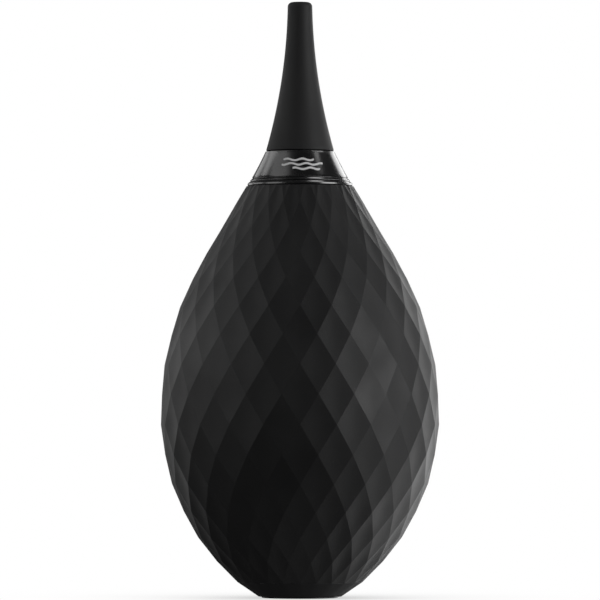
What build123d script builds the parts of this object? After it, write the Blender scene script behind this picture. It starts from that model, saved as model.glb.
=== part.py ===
from build123d import *

import os
from math import asin, cos, hypot, pi, radians, sin, sqrt, tan

# Dust blower bulb: a faceted silicone squeeze bulb with a pull-off nozzle, two check valves and a filtered inlet.
# +Z runs up the blower's own axis, and the origin is at the centre of the foot that it stands on. Millimetres.
# Air comes in through the cap in the foot, a foam filter and the inlet valve, and leaves through the outlet
# valve, the nozzle core and the soft nozzle.

# ---- driving dimensions -------------------------------------------------------------------------
overall_height = 171.0
belly_radius = 40.0  # to the corners of the diamonds, at the widest row
belly_height = 52.85
shoulder_arc = 86.2  # radius of the outline above the belly
base_arc = 64.0  # radius of the outline below the belly
neck_slope = radians(30.5)  # the outline runs on straight from here up to the collar
wall = 3.2

diamonds_round = 24
row_pitch = 8.6  # along the outline, from one row of corners to the next
lowest_row = -54.85  # outline distance from the belly down to the lowest row of corners
rows_up = 16  # rows above the lowest, enough to run out under the collar

skin_bottom = 0.4  # the foot stands this far proud of the silicone
skin_top = 118.0
mouth_floor = 114.1  # underside of the silicone round the neck
mouth_radius = 8.6
base_edge_radius = 11.9  # edge of the flat under the bulb
base_floor = 5.2  # top of the silicone round the inlet
base_hole_radius = 8.1
foot_recess_radius = 11.15
foot_recess_top = 1.5

gap = 0.1  # running room between pieces of different bodies

# inlet, in the foot
foot_radius = 11.0
inlet_barrel_radius = 8.0
inlet_top = 9.9
retainer_radius = 11.2
retainer_thickness = 1.8
cap_bore_radius = 6.5
cap_seat = 5.0  # underside of the web that carries the inlet valve
inlet_web_top = 6.4
inlet_hole_radius = 2.8
inlet_chamber_radius = 5.6
bead_height = 0.3  # raised ring that a valve disc closes against
bead_width = 0.6
inlet_disc_radius = 4.6
inlet_disc_thickness = 0.9
inlet_lift = 1.2

cap_bottom = 0.3  # the cap stays this far above the surface that the foot stands on
cap_plate_top = 1.7
cap_seal_thickness = 0.45
cup_radius = 5.3
filter_radius = 5.2
filter_thickness = 2.2
screen_thickness = 0.25
screen_pitch = 1.0
screen_opening = 0.6
screen_rim = 0.9

# head, in the bulb's mouth
barrel_radius = 8.5
barrel_bottom = 109.2
barrel_top = 127.8
clamp_flange_radius = 12.6
clamp_flange_bottom = 111.6
outlet_web_top = 110.8
outlet_hole_radius = 2.6
outlet_chamber_radius = 5.2
outlet_disc_radius = 4.3
outlet_disc_thickness = 1.0
outlet_lift = 1.5
socket_radius = 6.1
socket_floor = 118.8
ring_bottom = skin_top + gap
ring_top = 119.25
collar_bottom = 119.35
collar_top = 128.0
cage_thickness = 1.2

# nozzle
nozzle_bottom = 128.2
nozzle_base_radius = 9.7
nozzle_waist_radius = 5.35
nozzle_waist_height = 148.5
nozzle_tip_radius = 3.54
tip_rounding = 1.4
tip_bore_radius = 1.8
core_top = 150.0
core_bore_radius = 2.4
spigot_radius = 6.0
spigot_bottom = 119.0
oring_height = 123.0
oring_section = 0.58
groove_depth = 1.1
groove_width = 1.6

os.makedirs("parts", exist_ok=True)


# Labels a finished piece and writes it as its own STEP file.
def save(builder, name):
    builder.part.label = name
    export_step(builder.part, f"parts/{name}.step")


# Radius and height of the bulb's outline, at a distance along it from the belly, upwards positive.
def outline(distance):
    if distance < 0:
        angle = -distance / base_arc
        return belly_radius - base_arc * (1 - cos(angle)), belly_height - base_arc * sin(angle)
    angle = min(distance / shoulder_arc, neck_slope)
    straight = distance - angle * shoulder_arc
    radius = belly_radius - shoulder_arc * (1 - cos(angle)) - straight * sin(angle)
    return radius, belly_height + shoulder_arc * sin(angle) + straight * cos(angle)


# A corner of the diamonds. Even rows use even half steps round the axis, odd rows the odd ones.
def corner(row, half_step):
    radius, height = outline(lowest_row + row_pitch * row)
    angle = pi * half_step / diamonds_round
    return Vector(radius * sin(angle), -radius * cos(angle), height)


# The half steps round the axis of one row's own corners.
def half_steps(row):
    return range(row % 2, 2 * diamonds_round, 2)


# The diamond with its left and right corners on this row: a ruled face, dished a little from side to side.
def twisted_diamond(row, half_step):
    left, right = corner(row, half_step - 1), corner(row, half_step + 1)
    top, bottom = corner(row + 1, half_step), corner(row - 1, half_step)
    return Face.make_surface_from_curves(Edge.make_line(bottom, left), Edge.make_line(right, top))


def base_edge_point(half_step):
    angle = pi * half_step / diamonds_round
    return Vector(base_edge_radius * sin(angle), -base_edge_radius * cos(angle), skin_bottom)


# The closed outside of the bulb, run on past the collar, with a smooth band below the lowest corners.
def faceted_skin():
    faces = []
    for row in range(1, rows_up):
        faces += [twisted_diamond(row, h) for h in half_steps(row + 1)]
    for h in half_steps(1):
        faces.append(Face(Wire.make_polygon([corner(0, h - 1), corner(0, h + 1), corner(1, h)])))
    for h in half_steps(rows_up + 1):
        top_triangle = [corner(rows_up, h - 1), corner(rows_up, h + 1), corner(rows_up - 1, h)]
        faces.append(Face(Wire.make_polygon(top_triangle)))
    faces.append(Face(Wire.make_polygon([corner(rows_up, h) for h in half_steps(rows_up)])))
    edge_arcs = []
    for h in half_steps(1):
        arc = Edge.make_three_point_arc(base_edge_point(h - 1), base_edge_point(h), base_edge_point(h + 1))
        side = Edge.make_line(corner(0, h - 1), corner(0, h + 1))
        faces.append(Face.make_surface_from_curves(side, arc))
        edge_arcs.append(arc)
    faces.append(Face(Wire(edge_arcs)))
    return Solid(Shell(faces))


# The outline moved inwards by the wall thickness.
def inside(distance):
    radius, height = outline(distance)
    if distance < 0:
        angle = -distance / base_arc
        return radius - wall * cos(angle), height + wall * sin(angle)
    angle = min(distance / shoulder_arc, neck_slope)
    return radius - wall * cos(angle), height - wall * sin(angle)


# Radius of the cavity where its wall meets a flat floor or roof.
def cavity_corner(height):
    if height < belly_height:
        drop = belly_height - height
        return belly_radius - base_arc + sqrt((base_arc - wall) ** 2 - drop**2)
    start_radius, start_height = inside(shoulder_arc * neck_slope)
    return start_radius - (height - start_height) * tan(neck_slope)


# A flat ring in the sketch that is open.
def ring_sketch(inner, outer):
    Circle(outer)
    Circle(inner, mode=Mode.SUBTRACT)


# A three-spoked stop over a valve disc: rim, spokes and a hub.
def valve_cage(bottom, outer, hub):
    with BuildPart() as cage:
        with BuildSketch(Plane.XY.offset(bottom)):
            ring_sketch(outer - 0.9, outer)
            Circle(hub)
            with PolarLocations(0, 3):
                Rectangle(outer - 0.4, 0.9, align=(Align.MIN, Align.CENTER))
        extrude(amount=cage_thickness)
        with BuildSketch(Plane.XY.offset(bottom)):
            Circle(hub / 2)
        extrude(amount=cage_thickness, mode=Mode.SUBTRACT)
    return cage


# ---- squeeze bulb -------------------------------------------------------------------------------
with BuildPart() as bulb:
    add(faceted_skin())
    split(bisect_by=Plane.XY.offset(skin_top), keep=Keep.BOTTOM)
    with BuildSketch(Plane.XZ):
        with BuildLine():
            floor_radius = cavity_corner(base_floor)
            roof_radius = cavity_corner(mouth_floor)
            belly = (belly_radius - wall, belly_height)
            low_arc_reach = base_arc * asin((belly_height - base_floor) / (base_arc - wall))
            shoulder_end = inside(shoulder_arc * neck_slope)
            Line((0, base_floor), (floor_radius, base_floor))
            ThreePointArc((floor_radius, base_floor), inside(-low_arc_reach / 2), belly)
            ThreePointArc(belly, inside(shoulder_arc * neck_slope / 2), shoulder_end)
            Line(shoulder_end, (roof_radius, mouth_floor))
            Line((roof_radius, mouth_floor), (0, mouth_floor))
            Line((0, mouth_floor), (0, base_floor))
        make_face()
    revolve(axis=Axis.Z, mode=Mode.SUBTRACT)
    with BuildSketch(Plane.XY.offset(mouth_floor)):
        Circle(mouth_radius)
    extrude(amount=skin_top - mouth_floor, mode=Mode.SUBTRACT)
    with BuildSketch(Plane.XY.offset(skin_bottom)):
        Circle(base_hole_radius)
    extrude(amount=base_floor - skin_bottom, mode=Mode.SUBTRACT)
    with BuildSketch(Plane.XY.offset(skin_bottom)):
        Circle(foot_recess_radius)
    extrude(amount=foot_recess_top - skin_bottom, mode=Mode.SUBTRACT)
save(bulb, "bulb")

# ---- inlet end, in the foot ---------------------------------------------------------------------
retainer_bottom = base_floor + gap
inlet_bead_top = inlet_web_top + bead_height
inlet_bead_inner = inlet_hole_radius + 0.4

with BuildPart() as base_housing:
    with BuildSketch():
        Circle(foot_radius)
    extrude(amount=foot_recess_top)
    fillet(base_housing.edges().group_by(Axis.Z)[0], 0.25)
    with BuildSketch(Plane.XY.offset(foot_recess_top)):
        Circle(inlet_barrel_radius)
    extrude(amount=inlet_top - foot_recess_top)
    with BuildSketch(Plane.XY.offset(retainer_bottom)):
        Circle(retainer_radius)
    extrude(amount=retainer_thickness)
    chamfer(base_housing.edges().filter_by(GeomType.CIRCLE).sort_by(SortBy.RADIUS)[-1:], 0.6)
    with BuildSketch():
        Circle(cap_bore_radius)
    extrude(amount=cap_seat, mode=Mode.SUBTRACT)
    with BuildSketch(Plane.XY.offset(cap_seat)):
        Circle(inlet_hole_radius)
    extrude(amount=inlet_web_top - cap_seat, mode=Mode.SUBTRACT)
    with BuildSketch(Plane.XY.offset(inlet_web_top)):
        Circle(inlet_chamber_radius)
    extrude(amount=inlet_top - inlet_web_top, mode=Mode.SUBTRACT)
    with BuildSketch(Plane.XY.offset(inlet_web_top)):
        ring_sketch(inlet_bead_inner, inlet_bead_inner + bead_width)
    extrude(amount=bead_height)
save(base_housing, "base_housing")

with BuildPart() as inlet_valve_disc:
    with BuildSketch(Plane.XY.offset(inlet_bead_top)):
        Circle(inlet_disc_radius)
    extrude(amount=inlet_disc_thickness)
    fillet(inlet_valve_disc.edges(), 0.2)
save(inlet_valve_disc, "inlet_valve_disc")

inlet_cage_bottom = inlet_bead_top + inlet_disc_thickness + inlet_lift + gap / 2
inlet_valve_cage = valve_cage(inlet_cage_bottom, inlet_chamber_radius, 1.6)
save(inlet_valve_cage, "inlet_valve_cage")

cap_top = cap_seat - cap_seal_thickness - gap / 2
cap_radius = cap_bore_radius - gap
with BuildPart() as filter_cap:
    with BuildSketch(Plane.XY.offset(cap_bottom)):
        Circle(cap_radius)
    extrude(amount=cap_top - cap_bottom)
    with BuildSketch(Plane.XY.offset(cap_plate_top)):
        Circle(cup_radius)
    extrude(amount=cap_top - cap_plate_top, mode=Mode.SUBTRACT)
    with BuildSketch(Plane.XY.offset(cap_bottom)):
        SlotOverall(5.4, 1.3)
    extrude(amount=0.8, mode=Mode.SUBTRACT)
    with BuildSketch(Plane.XY.offset(cap_bottom)):
        with PolarLocations(4.2, 8, start_angle=22.5):
            SlotOverall(1.5, 0.8)
    extrude(amount=cap_plate_top - cap_bottom, mode=Mode.SUBTRACT)
    chamfer(filter_cap.faces().sort_by(Axis.Z)[0].outer_wire().edges(), 0.3)
save(filter_cap, "filter_cap")

filter_bottom = cap_plate_top + gap
with BuildPart() as filter_disc:
    with BuildSketch(Plane.XY.offset(filter_bottom)):
        Circle(filter_radius)
    extrude(amount=filter_thickness)
save(filter_disc, "filter_disc")

screen_bottom = filter_bottom + filter_thickness
screen_reach = filter_radius - screen_rim
screen_count = int(screen_reach / screen_pitch)
screen_steps = [screen_pitch * step for step in range(-screen_count, screen_count + 1)]
with BuildPart() as filter_screen:
    with BuildSketch(Plane.XY.offset(screen_bottom)):
        Circle(filter_radius)
        with Locations(*[(x, y) for x in screen_steps for y in screen_steps if hypot(x, y) <= screen_reach]):
            Rectangle(screen_opening, screen_opening, mode=Mode.SUBTRACT)
    extrude(amount=screen_thickness)
save(filter_screen, "filter_screen")

with BuildPart() as cap_seal:
    with BuildSketch(Plane.XY.offset(cap_top)):
        ring_sketch(cup_radius + gap, cap_radius - gap)
    extrude(amount=cap_seal_thickness)
save(cap_seal, "cap_seal")

# ---- head, clamped in the mouth of the bulb -----------------------------------------------------
outlet_bead_top = outlet_web_top + bead_height
outlet_bead_inner = outlet_hole_radius + 0.4
clamp_flange_top = mouth_floor - gap

with BuildPart() as neck_insert:
    with BuildSketch(Plane.XZ):
        with BuildLine():
            Polyline(
                (outlet_hole_radius, barrel_bottom),
                (barrel_radius, barrel_bottom),
                (barrel_radius, clamp_flange_bottom),
                (clamp_flange_radius - 1.0, clamp_flange_bottom),
                (clamp_flange_radius, clamp_flange_bottom + 1.0),
                (clamp_flange_radius, clamp_flange_top),
                (barrel_radius, clamp_flange_top),
                (barrel_radius, barrel_top),
                (socket_radius + 0.4, barrel_top),
                (socket_radius, barrel_top - 0.4),
                (socket_radius, socket_floor),
                (outlet_chamber_radius, socket_floor),
                (outlet_chamber_radius, outlet_web_top),
                (outlet_bead_inner + bead_width, outlet_web_top),
                (outlet_bead_inner + bead_width, outlet_bead_top),
                (outlet_bead_inner, outlet_bead_top),
                (outlet_bead_inner, outlet_web_top),
                (outlet_hole_radius, outlet_web_top),
                close=True,
            )
        make_face()
    revolve(axis=Axis.Z)
save(neck_insert, "neck_insert")

with BuildPart() as outlet_valve_disc:
    with BuildSketch(Plane.XY.offset(outlet_bead_top)):
        Circle(outlet_disc_radius)
    extrude(amount=outlet_disc_thickness)
    fillet(outlet_valve_disc.edges(), 0.2)
save(outlet_valve_disc, "outlet_valve_disc")

outlet_cage_bottom = outlet_bead_top + outlet_disc_thickness + outlet_lift + gap / 2
outlet_valve_cage = valve_cage(outlet_cage_bottom, outlet_chamber_radius, 1.5)
save(outlet_valve_cage, "outlet_valve_cage")

with BuildPart() as collar_ring:
    with BuildSketch(Plane.XZ):
        with BuildLine():
            Polyline(
                (barrel_radius, ring_bottom),
                (14.85, ring_bottom),
                (15.05, ring_bottom + 0.25),
                (14.55, ring_top - 0.15),
                (14.35, ring_top),
                (barrel_radius, ring_top),
                close=True,
            )
        make_face()
    revolve(axis=Axis.Z)
save(collar_ring, "collar_ring")

lip_top = 120.2
groove_bottom_radius = 13.45
cone_bottom = (13.75, 120.5)
cone_top = (10.0, collar_top - 0.2)
cone_middle = (11.77, 124.15)
with BuildPart() as collar:
    with BuildSketch(Plane.XZ):
        with BuildLine():
            Polyline(
                cone_bottom,
                (groove_bottom_radius, lip_top + 0.15),
                (13.85, lip_top),
                (14.35, collar_bottom + 0.15),
                (14.2, collar_bottom),
                (barrel_radius, collar_bottom),
                (barrel_radius, collar_top - 0.3),
                (barrel_radius + 0.3, collar_top),
                (cone_top[0] - 0.25, collar_top),
                cone_top,
            )
            ThreePointArc(cone_top, cone_middle, cone_bottom)
        make_face()
    revolve(axis=Axis.Z)
save(collar, "collar")

# ---- pull-off nozzle ----------------------------------------------------------------------------
groove_radius = spigot_radius - groove_depth
core_flange_radius = 8.6
core_flange_top = 130.2
core_stem_radius = 5.2
core_tip_radius = 3.4


# Outside of the rigid core, from the axis out: spigot, flange, then a stem that tapers into the soft tip.
def core_outline():
    return [
        (0, spigot_bottom),
        (spigot_radius - 0.5, spigot_bottom),
        (spigot_radius, spigot_bottom + 0.5),
        (spigot_radius, oring_height - groove_width / 2),
        (groove_radius, oring_height - groove_width / 2),
        (groove_radius, oring_height + groove_width / 2),
        (spigot_radius, oring_height + groove_width / 2),
        (spigot_radius, nozzle_bottom),
        (core_flange_radius, nozzle_bottom),
        (core_flange_radius, core_flange_top),
        (core_stem_radius, core_flange_top),
        (core_tip_radius, core_top),
        (0, core_top),
    ]


with BuildPart() as nozzle_core:
    with BuildSketch(Plane.XZ):
        with BuildLine():
            Polyline(*core_outline(), close=True)
        make_face()
    revolve(axis=Axis.Z)
    with BuildSketch(Plane.XY.offset(spigot_bottom)):
        Circle(core_bore_radius)
    extrude(amount=core_top - spigot_bottom, mode=Mode.SUBTRACT)
save(nozzle_core, "nozzle_core")

with BuildPart() as nozzle_oring:
    with Locations((0, 0, oring_height)):
        Torus(socket_radius - 0.03 - oring_section, oring_section)
save(nozzle_oring, "nozzle_oring")

with BuildPart() as nozzle_sleeve:
    tip_start = (nozzle_tip_radius, overall_height - tip_rounding)
    with BuildSketch(Plane.XZ):
        with BuildLine():
            Line((0, nozzle_bottom), (nozzle_base_radius - 0.25, nozzle_bottom))
            Line((nozzle_base_radius - 0.25, nozzle_bottom), (nozzle_base_radius, nozzle_bottom + 0.25))
            ThreePointArc(
                (nozzle_base_radius, nozzle_bottom + 0.25),
                (nozzle_waist_radius, nozzle_waist_height),
                tip_start,
            )
            RadiusArc(tip_start, (nozzle_tip_radius - tip_rounding, overall_height), -tip_rounding)
            Line((nozzle_tip_radius - tip_rounding, overall_height), (0, overall_height))
            Line((0, overall_height), (0, nozzle_bottom))
        make_face()
        with BuildLine():
            Polyline(*core_outline(), close=True)
        make_face(mode=Mode.SUBTRACT)
        with BuildLine():
            Polyline(
                (0, core_top),
                (tip_bore_radius, core_top),
                (tip_bore_radius, overall_height),
                (0, overall_height),
                close=True,
            )
        make_face(mode=Mode.SUBTRACT)
    revolve(axis=Axis.Z)
save(nozzle_sleeve, "nozzle_sleeve")
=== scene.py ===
from math import asin, atan2, cos, hypot, pi, radians, sin, sqrt, tan

import bmesh
import bpy
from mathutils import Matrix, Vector


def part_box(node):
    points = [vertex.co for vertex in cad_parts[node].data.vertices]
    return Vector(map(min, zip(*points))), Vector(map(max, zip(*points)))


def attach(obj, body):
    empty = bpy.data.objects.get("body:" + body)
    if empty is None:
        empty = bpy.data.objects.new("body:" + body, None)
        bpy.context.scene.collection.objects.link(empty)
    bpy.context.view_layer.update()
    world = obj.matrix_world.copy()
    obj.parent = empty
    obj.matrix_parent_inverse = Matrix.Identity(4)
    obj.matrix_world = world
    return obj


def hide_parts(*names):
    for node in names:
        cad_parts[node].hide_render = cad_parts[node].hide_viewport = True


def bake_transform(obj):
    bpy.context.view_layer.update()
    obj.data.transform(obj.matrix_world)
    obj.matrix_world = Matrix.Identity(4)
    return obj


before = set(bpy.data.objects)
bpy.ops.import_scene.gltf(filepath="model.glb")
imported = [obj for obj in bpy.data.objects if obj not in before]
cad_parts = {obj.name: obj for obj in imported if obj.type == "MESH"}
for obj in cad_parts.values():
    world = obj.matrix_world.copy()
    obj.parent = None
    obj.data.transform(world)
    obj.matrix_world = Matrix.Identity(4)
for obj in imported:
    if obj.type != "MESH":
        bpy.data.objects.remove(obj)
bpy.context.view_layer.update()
print("frame loaded")

mm = 0.001  # shape values below are in millimetres


def newGroup(name, inputs, outputs):
    group = bpy.data.node_groups.new(name, "ShaderNodeTree")
    for socketName, kind, value in inputs:
        group.interface.new_socket(socketName, in_out="INPUT", socket_type=kind).default_value = value
    for socketName, kind in outputs:
        group.interface.new_socket(socketName, in_out="OUTPUT", socket_type=kind)
    source = group.nodes.new("NodeGroupInput")
    result = group.nodes.new("NodeGroupOutput")
    return group, source.outputs, result.inputs


# adds a node, sets its properties, and links or sets its inputs by name or number
def addNode(tree, kind, settings=None, **inputs):
    node = tree.nodes.new(kind)
    for key, value in (settings or {}).items():
        setattr(node, key, value)
    for key, value in inputs.items():
        socket = node.inputs[int(key[1:])] if key[1:].isdigit() else node.inputs[key.replace("_", " ")]
        if isinstance(value, bpy.types.NodeSocket):
            tree.links.new(value, socket)
        else:
            socket.default_value = value
    return node


def mathNode(tree, operation, a, b, clamp=False):
    settings = {"operation": operation, "use_clamp": clamp}
    return addNode(tree, "ShaderNodeMath", settings, i0=a, i1=b).outputs[0]


# a smooth step of a value between low and high, put out between outLow and outHigh
def ramp(tree, value, low, high, outLow=0.0, outHigh=1.0):
    node = addNode(tree, "ShaderNodeMapRange", {"interpolation_type": "SMOOTHSTEP"}, Value=value)
    for key, edge in (("From Min", low), ("From Max", high), ("To Min", outLow), ("To Max", outHigh)):
        node.inputs[key].default_value = edge
    return node.outputs["Result"]


# a Mix node has its colour sockets after those for floats and vectors
def mixColour(tree, factor, a, b):
    return addNode(tree, "ShaderNodeMix", {"data_type": "RGBA"}, i0=factor, i6=a, i7=b).outputs[2]


# fine spark-eroded grain of a moulded surface, with slow cloudiness under it
def mouldGrainGroup():
    group, source, result = newGroup(
        "mouldGrain",
        [("Grain Size", "NodeSocketFloat", 1.0), ("Cloud Size", "NodeSocketFloat", 1.0)],
        [("Height", "NodeSocketFloat"), ("Cloud", "NodeSocketFloat"), ("Speck", "NodeSocketFloat")],
    )
    place = group.nodes.new("ShaderNodeTexCoord").outputs["Object"]
    grainScale = mathNode(group, "DIVIDE", 1.0, source["Grain Size"])
    cloudScale = mathNode(group, "DIVIDE", 1.0, source["Cloud Size"])
    fine = addNode(group, "ShaderNodeTexNoise", Vector=place, Scale=grainScale, Detail=3.0, Roughness=0.6)
    pits = addNode(group, "ShaderNodeTexVoronoi", Vector=place, Scale=grainScale)
    pitDepth = ramp(group, pits.outputs["Distance"], 0.05, 0.55)
    height = mathNode(group, "ADD", fine.outputs["Fac"], mathNode(group, "MULTIPLY", pitDepth, 0.5))
    cloud = addNode(group, "ShaderNodeTexNoise", Vector=place, Scale=cloudScale, Detail=4.0, Roughness=0.55)
    speck = addNode(group, "ShaderNodeTexNoise", Vector=place, Scale=grainScale, Detail=1.0)
    group.links.new(height, result["Height"])
    group.links.new(cloud.outputs["Fac"], result["Cloud"])
    group.links.new(ramp(group, speck.outputs["Fac"], 0.66, 0.74), result["Speck"])
    return group


# where the surface turns sharply, broken up by noise, as edges that hands have rubbed; in moulded surfaces
# this mask also carries a painted sheen on the lightened edges
def edgeWearGroup():
    group, source, result = newGroup(
        "edgeWear",
        [("Width", "NodeSocketFloat", 0.0004), ("Break Size", "NodeSocketFloat", 0.004)],
        [("Mask", "NodeSocketFloat")],
    )
    rounded = addNode(group, "ShaderNodeBevel", {"samples": 4}, Radius=source["Width"])
    plain = group.nodes.new("ShaderNodeNewGeometry")
    match = addNode(group, "ShaderNodeVectorMath", {"operation": "DOT_PRODUCT"})
    group.links.new(rounded.outputs["Normal"], match.inputs[0])
    group.links.new(plain.outputs["Normal"], match.inputs[1])
    edge = ramp(group, match.outputs["Value"], 0.999, 0.97)
    place = group.nodes.new("ShaderNodeTexCoord").outputs["Object"]
    breakScale = mathNode(group, "DIVIDE", 1.0, source["Break Size"])
    broken = addNode(group, "ShaderNodeTexNoise", Vector=place, Scale=breakScale, Detail=3.0)
    kept = ramp(group, broken.outputs["Fac"], 0.35, 0.6, 0.35, 1.0)
    group.links.new(mathNode(group, "MULTIPLY", edge, kept), result["Mask"])
    return group


# hairline scratches and finger smudges of a polished surface
def smudgeGroup():
    group, source, result = newGroup(
        "smudge",
        [("Scratch Size", "NodeSocketFloat", 0.0008), ("Smudge Size", "NodeSocketFloat", 0.006)],
        [("Scratch", "NodeSocketFloat"), ("Smudge", "NodeSocketFloat")],
    )
    place = group.nodes.new("ShaderNodeTexCoord").outputs["Object"]
    stretched = addNode(group, "ShaderNodeMapping", Vector=place, Scale=(1.0, 1.0, 14.0))
    scratchScale = mathNode(group, "DIVIDE", 1.0, source["Scratch Size"])
    lines = addNode(
        group, "ShaderNodeTexNoise",
        Vector=stretched.outputs[0], Scale=scratchScale, Detail=2.0, Distortion=0.6,
    )
    smudgeScale = mathNode(group, "DIVIDE", 1.0, source["Smudge Size"])
    blot = addNode(group, "ShaderNodeTexNoise", Vector=place, Scale=smudgeScale, Detail=5.0, Roughness=0.6)
    group.links.new(ramp(group, lines.outputs["Fac"], 0.6, 0.72), result["Scratch"])
    group.links.new(ramp(group, blot.outputs["Fac"], 0.42, 0.68), result["Smudge"])
    return group


mouldGrain = mouldGrainGroup()
edgeWear = edgeWearGroup()
smudge = smudgeGroup()
print("shader groups built")


def newMaterial(name, **constants):
    material = bpy.data.materials.new(name)
    material.use_nodes = True
    tree = material.node_tree
    shader = next(n for n in tree.nodes if n.type == "BSDF_PRINCIPLED")
    for key, value in constants.items():
        shader.inputs[key.replace("_", " ")].default_value = value
    return material, tree, shader


def useGroup(tree, group, **inputs):
    return addNode(tree, "ShaderNodeGroup", {"node_tree": group}, **inputs).outputs


def bumpInto(tree, shader, height, distance):
    node = addNode(tree, "ShaderNodeBump", Height=height, Distance=distance, Strength=1.0)
    tree.links.new(node.outputs[0], shader.inputs["Normal"])


# what all moulded surfaces share
mouldedSurface = {
    "speckShare": 0.35, "roughnessSpread": 0.05, "rubbedPolish": 0.18,
    "wearBreak": 0.4,  # size of the breaks in the wear, as a share of the cloud size
}


# moulded rubber or plastic: grain, cloudiness, and rubbed edges lightened partly as wear and partly as a
# painted sheen
def mouldedMaterial(name, look):
    surface = mouldedSurface
    material, tree, shader = newMaterial(name, Specular_IOR_Level=look.get("specular", 0.5))
    grain = useGroup(tree, mouldGrain, Grain_Size=look["grain"], Cloud_Size=look["cloud"])
    wear = useGroup(tree, edgeWear, Width=look["wearWidth"], Break_Size=look["cloud"] * surface["wearBreak"])
    base = mixColour(tree, grain["Cloud"], (*look["dark"], 1), (*look["light"], 1))
    speckShare = mathNode(tree, "MULTIPLY", grain["Speck"], surface["speckShare"])
    specked = mixColour(tree, speckShare, base, (*look["worn"], 1))
    # edges lightened towards the worn colour: partly rubbed wear, partly a painted sheen on the ridges
    wearAndSheenShare = mathNode(tree, "MULTIPLY", wear["Mask"], look["wear"])
    worn = mixColour(tree, wearAndSheenShare, specked, (*look["worn"], 1))
    tree.links.new(worn, shader.inputs["Base Color"])
    smoothest = look["roughness"] - surface["roughnessSpread"]
    roughest = look["roughness"] + surface["roughnessSpread"]
    matt = ramp(tree, grain["Cloud"], 0.3, 0.7, smoothest, roughest)
    polished = mathNode(tree, "MULTIPLY", wear["Mask"], look["wear"] * surface["rubbedPolish"])
    tree.links.new(mathNode(tree, "SUBTRACT", matt, polished, clamp=True), shader.inputs["Roughness"])
    bumpInto(tree, shader, grain["Height"], look["depth"])
    return material


# the worn colour tints the specks and lightens the sharp edges, there partly as wear and partly as a painted
# sheen
siliconeLook = {
    "dark": (0.0085, 0.0085, 0.0090), "light": (0.0125, 0.0125, 0.0130), "worn": (0.035, 0.035, 0.036),
    "roughness": 0.535, "grain": 0.00035, "depth": 0.000012, "cloud": 0.016,
    "wear": 0.15, "wearWidth": 0.0003, "specular": 0.5,
}
nozzleLook = dict(
    siliconeLook, dark=(0.026, 0.026, 0.0265), light=(0.031, 0.031, 0.0315), roughness=0.60, specular=0.29
)
nylonLook = {
    "dark": (0.012, 0.012, 0.013), "light": (0.020, 0.020, 0.021), "worn": (0.07, 0.07, 0.072),
    "roughness": 0.42, "grain": 0.00030, "depth": 0.000014, "cloud": 0.005, "wear": 0.5, "wearWidth": 0.0002,
}
capLook = dict(nylonLook, dark=(0.016, 0.016, 0.017), light=(0.024, 0.024, 0.025), roughness=0.5)
acetalLook = {
    "dark": (0.66, 0.66, 0.63), "light": (0.76, 0.76, 0.74), "worn": (0.82, 0.82, 0.80),
    "roughness": 0.34, "grain": 0.00025, "depth": 0.000006, "cloud": 0.003, "wear": 0.4, "wearWidth": 0.00015,
}
valveLook = {
    "dark": (0.26, 0.030, 0.022), "light": (0.36, 0.050, 0.036), "worn": (0.46, 0.12, 0.10),
    "roughness": 0.46, "grain": 0.00025, "depth": 0.000008, "cloud": 0.003, "wear": 0.3, "wearWidth": 0.00015,
}
sealLook = dict(nylonLook, dark=(0.008, 0.008, 0.008), light=(0.014, 0.014, 0.014), roughness=0.34)

siliconeSkin = mouldedMaterial("siliconeSkin", siliconeLook)
nozzleRubber = mouldedMaterial("nozzleRubber", nozzleLook)
blackNylon = mouldedMaterial("blackNylon", nylonLook)
capPlastic = mouldedMaterial("capPlastic", capLook)
whiteAcetal = mouldedMaterial("whiteAcetal", acetalLook)
valveRubber = mouldedMaterial("valveRubber", valveLook)
sealRubber = mouldedMaterial("sealRubber", sealLook)

glossLook = {
    "colour": (0.0030, 0.0030, 0.0033), "edge": (0.05, 0.05, 0.052), "roughness": 0.22, "smudged": 0.30,
    "scratchDepth": 0.0000015, "scratch": 0.0009, "smudge": 0.007, "coatRoughness": 0.2,
    "wear": 0.5, "wearWidth": 0.00018, "wearBreak": 0.003,
}


def glossMaterial(name, look):
    material, tree, shader = newMaterial(
        name, Coat_Weight=1.0, Coat_Roughness=look["coatRoughness"], Specular_IOR_Level=1.0
    )
    marks = useGroup(tree, smudge, Scratch_Size=look["scratch"], Smudge_Size=look["smudge"])
    wear = useGroup(tree, edgeWear, Width=look["wearWidth"], Break_Size=look["wearBreak"])
    worn = mathNode(tree, "MULTIPLY", wear["Mask"], look["wear"])
    tone = mixColour(tree, worn, (*look["colour"], 1), (*look["edge"], 1))
    tree.links.new(tone, shader.inputs["Base Color"])
    hazy = ramp(tree, marks["Smudge"], 0.0, 1.0, look["roughness"], look["smudged"])
    tree.links.new(hazy, shader.inputs["Roughness"])
    bumpInto(tree, shader, marks["Scratch"], look["scratchDepth"])
    return material


glossBlack = glossMaterial("glossBlack", glossLook)


screenLook = {
    "dark": (0.52, 0.52, 0.50), "light": (0.64, 0.64, 0.62), "edge": (0.8, 0.8, 0.78),
    "roughness": (0.28, 0.42), "scratch": 0.0003, "scratchDepth": 0.000003, "smudge": 0.002,
    "wearWidth": 0.0001, "wearBreak": 0.001,
}


# etched stainless sheet with a rolled grain
def screenMaterial(name, look):
    material, tree, shader = newMaterial(name, Metallic=1.0)
    marks = useGroup(tree, smudge, Scratch_Size=look["scratch"], Smudge_Size=look["smudge"])
    wear = useGroup(tree, edgeWear, Width=look["wearWidth"], Break_Size=look["wearBreak"])
    tone = mixColour(tree, marks["Smudge"], (*look["dark"], 1), (*look["light"], 1))
    tree.links.new(mixColour(tree, wear["Mask"], tone, (*look["edge"], 1)), shader.inputs["Base Color"])
    tree.links.new(ramp(tree, marks["Scratch"], 0, 1, *look["roughness"]), shader.inputs["Roughness"])
    bumpInto(tree, shader, marks["Scratch"], look["scratchDepth"])
    return material


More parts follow.
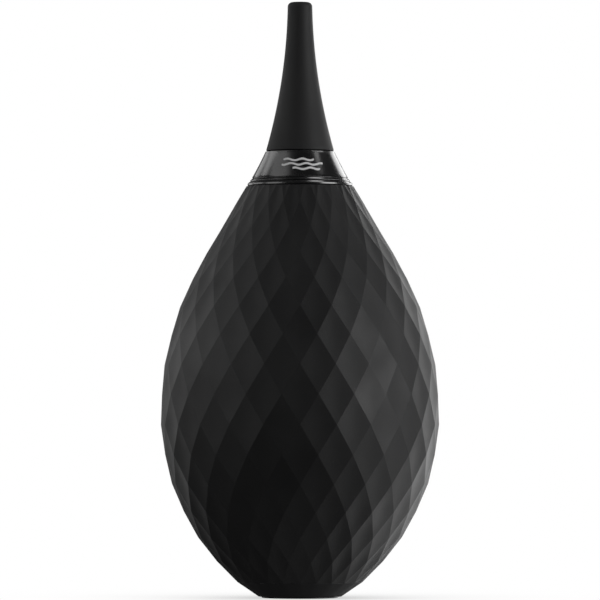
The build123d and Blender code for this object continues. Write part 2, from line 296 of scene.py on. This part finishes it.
foamLook = {
    "pore": (0.015, 0.015, 0.016), "strut": (0.19, 0.19, 0.20), "roughness": (0.95, 0.8), "sheen": 0.2,
    "cellsPerMetre": 2200.0, "strutWidth": (0.22, 0.03), "depth": 0.00018,
}


# open-cell foam: dark pores between lighter struts
def foamMaterial(name, look):
    material, tree, shader = newMaterial(name, Sheen_Weight=look["sheen"])
    place = tree.nodes.new("ShaderNodeTexCoord").outputs["Object"]
    cells = addNode(
        tree, "ShaderNodeTexVoronoi", {"feature": "DISTANCE_TO_EDGE"},
        Vector=place, Scale=look["cellsPerMetre"],
    )
    strut = ramp(tree, cells.outputs["Distance"], *look["strutWidth"])
    tone = mixColour(tree, strut, (*look["pore"], 1), (*look["strut"], 1))
    tree.links.new(tone, shader.inputs["Base Color"])
    tree.links.new(ramp(tree, strut, 0, 1, *look["roughness"]), shader.inputs["Roughness"])
    bumpInto(tree, shader, strut, look["depth"])
    return material


inkLook = {
    "dark": (0.90, 0.90, 0.90), "light": (0.96, 0.96, 0.96), "roughness": (0.35, 0.5),
    "grain": 0.00018, "cloud": 0.001, "depth": 0.000004,
}


# white pad-printed ink, a little uneven
def inkMaterial(name, look):
    material, tree, shader = newMaterial(name)
    grain = useGroup(tree, mouldGrain, Grain_Size=look["grain"], Cloud_Size=look["cloud"])
    tone = mixColour(tree, grain["Cloud"], (*look["dark"], 1), (*look["light"], 1))
    tree.links.new(tone, shader.inputs["Base Color"])
    tree.links.new(ramp(tree, grain["Cloud"], 0.3, 0.7, *look["roughness"]), shader.inputs["Roughness"])
    bumpInto(tree, shader, grain["Height"], look["depth"])
    return material


steelScreen = screenMaterial("steelScreen", screenLook)
filterFoam = foamMaterial("filterFoam", foamLook)
printInk = inkMaterial("printInk", inkLook)
print("materials built")


# makes a bmesh an object with its finish, puts it on the body that carries it, and hides the CAD parts it
# stands in for
def finishPiece(bm, name, material, body=None, replaced=(), sharpAngle=40):
    bmesh.ops.remove_doubles(bm, verts=bm.verts, dist=1e-7)
    bmesh.ops.recalc_face_normals(bm, faces=bm.faces)
    for face in bm.faces:
        face.smooth = True
    mesh = bpy.data.meshes.new(name)
    bm.to_mesh(mesh)
    bm.free()
    mesh.set_sharp_from_angle(angle=radians(sharpAngle))
    mesh.materials.append(material)
    piece = bpy.data.objects.new(name, mesh)
    bpy.context.scene.collection.objects.link(piece)
    weighted = piece.modifiers.new("weightedNormals", "WEIGHTED_NORMAL")
    weighted.keep_sharp = True
    if body:
        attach(piece, body)
    if replaced:
        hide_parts(*replaced)
    return piece


# points on an arc round a centre, the short way from one point to another
def arcRound(centre, start, end, segments):
    spoke = Vector(start) - Vector(centre)
    sweep = atan2(spoke.cross(Vector(end) - Vector(centre)), spoke.dot(Vector(end) - Vector(centre)))
    turns = [(cos(sweep * step / segments), sin(sweep * step / segments)) for step in range(segments + 1)]
    return [Vector(centre) + Vector((spoke.x * c - spoke.y * s, spoke.x * s + spoke.y * c)) for c, s in turns]


# an outline of (radius, height[, corner radius]) in mm, with its corners rounded by arcs
def roundedOutline(corners, closed=True, segments=5):
    points = []
    for i, (radius, height, *rounding) in enumerate(corners):
        here = Vector((radius, height))
        atEnd = not closed and i in (0, len(corners) - 1)
        if not rounding or atEnd:
            points.append(here)
            continue
        toBefore = (Vector(corners[i - 1][:2]) - here).normalized()
        toAfter = (Vector(corners[(i + 1) % len(corners)][:2]) - here).normalized()
        halfAngle = toBefore.angle(toAfter) / 2
        centre = here + (toBefore + toAfter).normalized() * (rounding[0] / sin(halfAngle))
        setback = rounding[0] / tan(halfAngle)
        points += arcRound(centre, here + toBefore * setback, here + toAfter * setback, segments)
    return points


# an outline turned once round the blower's axis
def turned(outline, steps=128, closed=True):
    bm = bmesh.new()
    verts = [bm.verts.new((p[0] * mm, 0, p[1] * mm)) for p in outline]
    edges = [bm.edges.new(pair) for pair in zip(verts, verts[1:])]
    if closed:
        edges.append(bm.edges.new((verts[-1], verts[0])))
    bmesh.ops.spin(
        bm, geom=verts + edges, cent=(0, 0, 0), axis=(0, 0, 1), angle=2 * pi, steps=steps, use_merge=True
    )
    bmesh.ops.remove_doubles(bm, verts=bm.verts, dist=1e-6)
    return bm


# points of the circle through three points, from the first to the third
def arcPoints(start, middle, end, segments):
    (ax, ay), (bx, by), (cx, cy) = start, middle, end
    d = 2 * (ax * (by - cy) + bx * (cy - ay) + cx * (ay - by))
    ux = ((ax**2 + ay**2) * (by - cy) + (bx**2 + by**2) * (cy - ay) + (cx**2 + cy**2) * (ay - by)) / d
    uy = ((ax**2 + ay**2) * (cx - bx) + (bx**2 + by**2) * (ax - cx) + (cx**2 + cy**2) * (bx - ax)) / d
    return arcRound((ux, uy), start, end, segments)


bulbLow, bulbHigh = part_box("bulb")
bulbShape = {
    "diamondsRound": 24,
    "rowPitch": 8.6,  # along the outline
    "lowestRow": -54.85,  # outline distance from the belly
    "rows": 16,
    "bellyRadius": 40.0,
    "bellyHeight": 52.85,
    "shoulderArc": 86.2,
    "baseArc": 64.0,
    "neckSlope": radians(30.5),
    "baseEdge": 11.9,
    "edgeSoftness": 0.10,
    "facetCuts": 4,
    "longEdge": 1.3,  # edges longer than this are cut for the hollows
    "dish": (0.13, 0.31),  # how far the middle of a diamond is hollowed, at the belly and at the neck
    "bottom": bulbLow.z / mm,
    "top": bulbHigh.z / mm,
    "wall": 3.2,
    "wallStep": 3.0,  # between the rings of the inner wall
    "mouthRadius": 8.6,
    "mouthFloor": 114.1,
    "baseFloor": 5.2,
    "baseHole": 8.1,
    "recessRadius": 11.15,
    "recessTop": 1.5,
}


# radius and height of the bulb's outline, at a distance along it from the belly
def bulbOutline(shape, distance, inset=0.0):
    if distance < 0:
        angle = -distance / shape["baseArc"]
        reach = shape["baseArc"] - inset
        radius = shape["bellyRadius"] - shape["baseArc"] + reach * cos(angle)
        return radius, shape["bellyHeight"] - reach * sin(angle)
    angle = min(distance / shape["shoulderArc"], shape["neckSlope"])
    straight = distance - angle * shape["shoulderArc"]
    reach = shape["shoulderArc"] - inset
    radius = shape["bellyRadius"] - shape["shoulderArc"] + reach * cos(angle) - straight * sin(angle)
    return radius, shape["bellyHeight"] + reach * sin(angle) + straight * cos(angle)


# how deep in a diamond a point lies, from 0 on its edges to 1 in the middle
def diamondDepth(shape, point):
    height = point.z / mm - shape["bellyHeight"]
    if height < 0:
        distance = -shape["baseArc"] * asin(min(1.0, -height / shape["baseArc"]))
    else:
        angle = min(shape["neckSlope"], asin(min(1.0, height / shape["shoulderArc"])))
        distance = angle * shape["shoulderArc"] + (height - shape["shoulderArc"] * sin(angle)) / cos(angle)
    row = (distance - shape["lowestRow"]) / shape["rowPitch"]
    halfStep = atan2(point.x, -point.y) * shape["diamondsRound"] / pi
    rising, falling = halfStep + row, halfStep - row
    # corners have an even sum, so edges lie where either of these is a whole even number
    across = [((value / 2) % 1.0) * 2 - 1 for value in (rising, falling)]
    return (1 - across[0] ** 2) * (1 - across[1] ** 2)


# the foot's recess, the inner wall and the mouth
def cavityOutline(shape):
    lowReach = -shape["baseArc"] * 0.9
    samples = [bulbOutline(shape, lowReach + step * shape["wallStep"], shape["wall"]) for step in range(60)]
    wall = [p for p in samples if shape["baseFloor"] + 1 < p[1] < shape["mouthFloor"] - 1]
    return [
        (shape["baseEdge"], shape["bottom"]),
        (shape["recessRadius"], shape["bottom"]),
        (shape["recessRadius"], shape["recessTop"]),
        (shape["baseHole"], shape["recessTop"]),
        (shape["baseHole"], shape["baseFloor"]),
        (wall[0][0] - 1.0, shape["baseFloor"]),
        *wall,
        (wall[-1][0] - 0.5, shape["mouthFloor"]),
        (shape["mouthRadius"], shape["mouthFloor"]),
        (shape["mouthRadius"], shape["top"]),
    ]


def buildBulb(shape):
    bm = bmesh.new()
    count, rows = shape["diamondsRound"], shape["rows"]
    bmesh.ops.create_grid(bm, x_segments=count, y_segments=rows // 2, size=0.5)
    bmesh.ops.scale(bm, verts=bm.verts, vec=(2 * count, rows, 1))
    bmesh.ops.translate(bm, verts=bm.verts, vec=(count, rows / 2, 0))
    squares = list(bm.edges)
    bmesh.ops.poke(bm, faces=bm.faces)
    bmesh.ops.dissolve_edges(bm, edges=[e for e in squares if len(e.link_faces) == 2])
    # flat diamonds: x counts half steps round, y counts rows up; now wrapped onto the outline
    for vert in bm.verts:
        radius, height = bulbOutline(shape, shape["lowestRow"] + shape["rowPitch"] * vert.co.y)
        angle = pi * vert.co.x / count
        vert.co = Vector((radius * sin(angle), -radius * cos(angle), height)) * mm
    bmesh.ops.remove_doubles(bm, verts=bm.verts, dist=1e-6)
    seam = [
        e for e in bm.edges
        if not e.is_boundary and all(abs(v.co.x) < 1e-7 and v.co.y < 0 for v in e.verts)
    ]
    bmesh.ops.dissolve_edges(bm, edges=seam)
    lowest = bulbOutline(shape, shape["lowestRow"])[1] * mm
    rim = [e for e in bm.edges if e.is_boundary and all(v.co.z < lowest + 1e-6 for v in e.verts)]
    band = bmesh.ops.extrude_edge_only(bm, edges=rim)["geom"]
    for vert in (g for g in band if isinstance(g, bmesh.types.BMVert)):
        shrink = shape["baseEdge"] * mm / hypot(vert.co.x, vert.co.y)
        vert.co = Vector((vert.co.x * shrink, vert.co.y * shrink, shape["bottom"] * mm))
    corners = [e for e in bm.edges if not e.is_boundary and min(v.co.z for v in e.verts) > lowest - 1e-6]
    bmesh.ops.bevel(
        bm, geom=corners, offset=shape["edgeSoftness"] * mm, offset_type="OFFSET", segments=2,
        profile=0.5, affect="EDGES", material=-1, clamp_overlap=True,
    )
    long = [e for e in bm.edges if e.calc_length() > shape["longEdge"] * mm]
    bmesh.ops.subdivide_edges(bm, edges=long, cuts=shape["facetCuts"], use_grid_fill=True)
    for vert in bm.verts:
        if vert.co.z > lowest:
            inward = Vector((vert.co.x, vert.co.y, 0)).normalized()
            upNeck = max(0.0, (vert.co.z / mm - shape["bellyHeight"]) / (shape["top"] - shape["bellyHeight"]))
            dish = shape["dish"][0] + (shape["dish"][1] - shape["dish"][0]) * upNeck**3
            vert.co -= inward * dish * mm * diamondDepth(shape, vert.co)
    bmesh.ops.bisect_plane(
        bm, geom=list(bm.verts) + list(bm.edges) + list(bm.faces),
        plane_co=(0, 0, shape["top"] * mm), plane_no=(0, 0, 1), clear_outer=True, dist=1e-6,
    )
    # the band under the lowest corners goes over from flat sides to a round edge
    steps = count * (shape["facetCuts"] + 1)
    for vert in bm.verts:
        if vert.co.z > lowest - 0.4 * mm:
            continue
        share = (lowest - vert.co.z) / (lowest - shape["bottom"] * mm)
        angle = atan2(vert.co.x, -vert.co.y)
        offSide = (angle % (2 * pi / count)) - pi / count
        radius = hypot(vert.co.x, vert.co.y) * (cos(offSide) / cos(pi / count)) ** share
        if share > 0.99:
            angle = round(angle * steps / (2 * pi)) * 2 * pi / steps
            radius = shape["baseEdge"] * mm
        vert.co.x, vert.co.y = radius * sin(angle), -radius * cos(angle)
    nearTop = (shape["top"] - 0.01) * mm
    topLoop = [e for e in bm.edges if e.is_boundary and all(v.co.z > nearTop for v in e.verts)]
    lining = turned(cavityOutline(shape), steps=steps, closed=False)
    liningMesh = bpy.data.meshes.new("lining")
    lining.to_mesh(liningMesh)
    lining.free()
    bm.from_mesh(liningMesh)
    bpy.data.meshes.remove(liningMesh)
    mouthLoop = [
        e for e in bm.edges
        if e.is_boundary and all(v.co.z > nearTop for v in e.verts) and e not in topLoop
    ]
    bmesh.ops.bridge_loops(bm, edges=topLoop + mouthLoop)
    bmesh.ops.remove_doubles(bm, verts=bm.verts, dist=5e-6)
    return bm


bulb = finishPiece(buildBulb(bulbShape), "squeeze_bulb", siliconeSkin, sharpAngle=50)
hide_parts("bulb")
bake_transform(bulb)
print("bulb built", len(bulb.data.polygons), "faces")

collarLow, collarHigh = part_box("collar")
ringLow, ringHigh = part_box("collar_ring")
collarShape = {
    "bottom": collarLow.z / mm, "top": collarHigh.z / mm, "lipRadius": collarHigh.x / mm, "bore": 8.5,
    "topRadius": 10.0, "coneBottomRadius": 13.75, "coneBottom": 120.5, "coneMiddle": (11.77, 124.15),
    "lipTop": 120.2, "lipChamfer": 0.60, "groove": 13.4, "tuck": 0.15,
    "boreChamfer": 0.3, "topRounding": 0.22, "steps": 192,
}
ringShape = {
    "bottom": ringLow.z / mm, "top": ringHigh.z / mm, "radius": ringHigh.x / mm, "bore": 8.5,
    "chamfer": 0.50, "tuck": 0.15, "tuckHeight": 0.22,
}


# the flared cone, from its top down
def coneArc(s, segments):
    top = (s["topRadius"], s["top"] - s["topRounding"])
    return arcPoints(top, s["coneMiddle"], (s["coneBottomRadius"], s["coneBottom"]), segments)


def collarOutline(s):
    cone = coneArc(s, 14)
    lower = roundedOutline([
        (s["coneBottomRadius"] + 0.02, s["coneBottom"] - 0.02),
        (s["groove"], s["lipTop"] + 0.1, 0.05),
        (s["lipRadius"] - s["lipChamfer"], s["lipTop"] + 0.02, 0.06),
        (s["lipRadius"], s["lipTop"] + 0.02 - s["lipChamfer"], 0.10),
        (s["lipRadius"] - s["tuck"], s["bottom"]),
        (s["bore"], s["bottom"]),
        (s["bore"], s["top"] - s["boreChamfer"]),
        (s["bore"] + s["boreChamfer"], s["top"]),
        (s["topRadius"] - s["topRounding"], s["top"]),
    ], closed=False)
    shoulder = arcPoints(
        (s["topRadius"] - 0.2, s["top"]), (s["topRadius"] - 0.05, s["top"] - 0.06),
        (s["topRadius"], s["top"] - 0.2), 4,
    )
    return shoulder + cone[1:] + lower[:-1]


# its chamfer, like the one on the lip above it, faces up and out at 45 degrees and catches a thin bright line
def ringOutline(s):
    return roundedOutline([
        (s["bore"], s["bottom"]),
        (s["radius"] - s["tuck"], s["bottom"], 0.08),
        (s["radius"], s["bottom"] + s["tuckHeight"], 0.12),
        (s["radius"], s["top"] - s["chamfer"], 0.12),
        (s["radius"] - s["chamfer"], s["top"], 0.08),
        (s["bore"], s["top"]),
    ])


collarTurned = turned(collarOutline(collarShape), collarShape["steps"])
finishPiece(collarTurned, "clamp_collar", glossBlack, "head", ["collar"])
ringTurned = turned(ringOutline(ringShape), collarShape["steps"])
finishPiece(ringTurned, "neck_ring", glossBlack, "head", ["collar_ring"])
print("collar built")

# a small printed sign for moving air: three waves, wrapped onto the cone
markShape = {
    "middle": 124.0, "spacing": 1.30, "lengths": (9.0, 12.4, 8.2), "shift": (-0.4, 0.7, 1.9),
    "stroke": 0.60, "wave": 0.24, "waveLength": 4.4, "lift": 0.02, "thickness": 0.03,
}


def coneRadius(height):
    outline = coneArc(collarShape, 40)
    upper = min((p for p in outline if p.y >= height), key=lambda p: p.y)
    lower = max((p for p in outline if p.y < height), key=lambda p: p.y)
    return lower.x + (upper.x - lower.x) * (height - lower.y) / (upper.y - lower.y)


def buildMark(s):
    bm = bmesh.new()
    for row, (length, shift) in enumerate(zip(s["lengths"], s["shift"])):
        fresh = bmesh.ops.create_grid(bm, x_segments=72, y_segments=4, size=0.5)["verts"]
        for vert in fresh:
            along = vert.co.x * length
            fromEnd = max(0.0, abs(along) - (length - s["stroke"]) / 2) / (s["stroke"] / 2)
            across = vert.co.y * s["stroke"] * sqrt(max(0.0, 1 - fromEnd**2))
            height = s["middle"] + s["spacing"] * (1 - row) + across
            height += s["wave"] * sin(2 * pi * along / s["waveLength"])
            radius = coneRadius(height) + s["lift"]
            angle = (along + shift) / radius
            vert.co = Vector((radius * sin(angle), -radius * cos(angle), height)) * mm
    bmesh.ops.remove_doubles(bm, verts=bm.verts, dist=1e-6)
    bmesh.ops.recalc_face_normals(bm, faces=bm.faces)
    bmesh.ops.solidify(bm, geom=bm.faces, thickness=s["thickness"] * mm)
    return bm


finishPiece(buildMark(markShape), "airflow_mark", printInk, "head")
print("mark built")

sleeveLow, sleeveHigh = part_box("nozzle_sleeve")
sleeveShape = {
    "bottom": sleeveLow.z / mm, "top": sleeveHigh.z / mm, "baseRadius": sleeveHigh.x / mm,
    "waist": (5.35, 148.5), "tipRadius": 3.54, "tipRounding": 1.4, "bore": 1.8, "boreRounding": 0.28,
    "coreTop": 150.0, "coreTip": 3.4, "coreStem": 5.2, "flange": 8.6, "flangeTop": 130.2,
}


# the soft outside, with the hollow that the rigid core fills
def sleeveOutline(s):
    flare = arcPoints(
        (s["baseRadius"], s["bottom"] + 0.3), s["waist"], (s["tipRadius"], s["top"] - s["tipRounding"]), 40
    )
    tip = roundedOutline([
        (s["tipRadius"], s["top"] - s["tipRounding"]),
        (s["tipRadius"], s["top"], s["tipRounding"] * 0.98),
        (s["bore"], s["top"], s["boreRounding"]),
        (s["bore"], s["coreTop"]),
        (s["coreTip"], s["coreTop"]),
        (s["coreStem"], s["flangeTop"]),
        (s["flange"], s["flangeTop"]),
        (s["flange"], s["bottom"]),
        (s["baseRadius"] - 0.3, s["bottom"]),
    ], closed=False, segments=8)
    foot = arcPoints(
        (s["baseRadius"] - 0.28, s["bottom"]), (s["baseRadius"] - 0.07, s["bottom"] + 0.08),
        (s["baseRadius"], s["bottom"] + 0.28), 4,
    )
    return foot + flare[1:] + tip[1:-1]


sleeveTurned = turned(sleeveOutline(sleeveShape))
finishPiece(sleeveTurned, "soft_nozzle", nozzleRubber, "nozzle", ["nozzle_sleeve"])
print("nozzle built")

# the pieces that keep their CAD shape
finishes = {
    "neck_insert": blackNylon, "nozzle_core": blackNylon, "base_housing": blackNylon,
    "filter_cap": capPlastic,
    "outlet_valve_cage": whiteAcetal, "inlet_valve_cage": whiteAcetal, "outlet_valve_disc": valveRubber,
    "inlet_valve_disc": valveRubber, "nozzle_oring": sealRubber, "cap_seal": sealRubber,
    "filter_disc": filterFoam, "filter_screen": steelScreen,
}
for name, material in finishes.items():
    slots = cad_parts[name].data.materials
    slots.clear()
    slots.append(material)
print("finishes given")

stageLook = {
    "floorSize": 8.0, "shadowReach": 0.10, "shadowTone": 0.62, "shadowEnd": 0.95,
    "worldSeen": 1.0, "worldLight": 0.037,
    "eye": (0.0, -1.72, 0.048), "aim": (0.0, 0.0, 0.0854), "lens": 359.6,
}


# white paper that only the camera sees, clear from below, with a soft shadow close round the foot
def floorMaterial(look):
    material = bpy.data.materials.new("paleFloor")
    material.use_nodes = True
    tree = material.node_tree
    tree.nodes.clear()
    near = addNode(tree, "ShaderNodeAmbientOcclusion", {"samples": 8}, Distance=look["shadowReach"])
    tone = ramp(tree, near.outputs["AO"], 0.0, look["shadowEnd"], look["shadowTone"], 1.0)
    light = addNode(tree, "ShaderNodeEmission", Color=(1, 1, 1, 1), Strength=tone)
    clear = tree.nodes.new("ShaderNodeBsdfTransparent")
    side = tree.nodes.new("ShaderNodeNewGeometry")
    fromBelow = addNode(
        tree, "ShaderNodeMixShader", i0=side.outputs["Backfacing"], i1=light.outputs[0], i2=clear.outputs[0]
    )
    output = tree.nodes.new("ShaderNodeOutputMaterial")
    tree.links.new(fromBelow.outputs[0], output.inputs[0])
    return material


# plain white behind the blower, and a dim light of its own
def studioWorld(look):
    world = bpy.data.worlds.new("studio")
    world.use_nodes = True
    tree = world.node_tree
    tree.nodes.clear()
    path = tree.nodes.new("ShaderNodeLightPath")
    seen = addNode(tree, "ShaderNodeBackground", Color=(1, 1, 1, 1), Strength=look["worldSeen"])
    felt = addNode(tree, "ShaderNodeBackground", Color=(1, 1, 1, 1), Strength=look["worldLight"])
    choice = addNode(
        tree, "ShaderNodeMixShader", i0=path.outputs["Is Camera Ray"], i1=felt.outputs[0], i2=seen.outputs[0]
    )
    output = tree.nodes.new("ShaderNodeOutputWorld")
    tree.links.new(choice.outputs[0], output.inputs[0])
    return world


def buildStage(look):
    bpy.context.scene.world = studioWorld(look)
    bm = bmesh.new()
    bmesh.ops.create_grid(bm, x_segments=2, y_segments=2, size=look["floorSize"] / 2)
    mesh = bpy.data.meshes.new("floor")
    bm.to_mesh(mesh)
    bm.free()
    mesh.materials.append(floorMaterial(look))
    floor = bpy.data.objects.new("floor", mesh)
    bpy.context.scene.collection.objects.link(floor)
    floor.visible_diffuse = False
    floor.visible_glossy = False
    floor.visible_transmission = False
    floor.visible_shadow = False

    camera = bpy.data.objects.new("camera", bpy.data.cameras.new("camera"))
    bpy.context.scene.collection.objects.link(camera)
    camera.location = look["eye"]
    camera.rotation_euler = (Vector(look["aim"]) - camera.location).to_track_quat("-Z", "Y").to_euler()
    camera.data.lens = look["lens"]
    camera.data.clip_end = 20
    bpy.context.scene.camera = camera


softboxAim = (0, 0, 0.085)
softboxDistance = 1.3
# each panel: turn round the blower from the front towards its right side, and rise, in degrees
softboxes = {
    "keyRight": {"turn": 67, "rise": 12, "size": (0.85, 1.00), "power": 9.0},
    "stripRight": {"turn": 66, "rise": 45, "size": (0.25, 0.22), "power": 0.28},
    "topRight": {"turn": 112, "rise": 72, "size": (0.26, 0.32), "power": 0.6},
    "lowRight": {"turn": 110, "rise": -35, "size": (0.90, 0.60), "power": 3.4},
    "backRight": {"turn": 145, "rise": 2, "size": (0.80, 1.30), "power": 7.0},
    "fillLeft": {"turn": -60, "rise": 14, "size": (0.90, 0.90), "power": 2.5},
    "skyLeft": {"turn": -74, "rise": 52, "size": (0.85, 0.70), "power": 1.1},
    "sideLeft": {"turn": -107, "rise": 20, "size": (0.80, 0.90), "power": 2.4},
    "backLeft": {"turn": -142, "rise": 5, "size": (0.60, 1.10), "power": 1.6},
    "lowFront": {"turn": -25, "rise": -74, "size": (0.90, 0.60), "power": 0.6},
}


def buildLights(boxes):
    target = Vector(softboxAim)
    for name, box in boxes.items():
        light = bpy.data.lights.new(name, "AREA")
        light.shape = "RECTANGLE"
        light.size, light.size_y = box["size"]
        light.energy = box["power"]
        turn, rise = radians(box["turn"]), radians(box["rise"])
        lamp = bpy.data.objects.new(name, light)
        towards = Vector((sin(turn) * cos(rise), -cos(turn) * cos(rise), sin(rise)))
        lamp.location = target + softboxDistance * towards
        lamp.rotation_euler = (target - lamp.location).to_track_quat("-Z", "Y").to_euler()
        lamp.visible_camera = False
        bpy.context.scene.collection.objects.link(lamp)


buildStage(stageLook)
buildLights(softboxes)
bpy.context.scene.view_settings.view_transform = "Standard"
print("stage built")
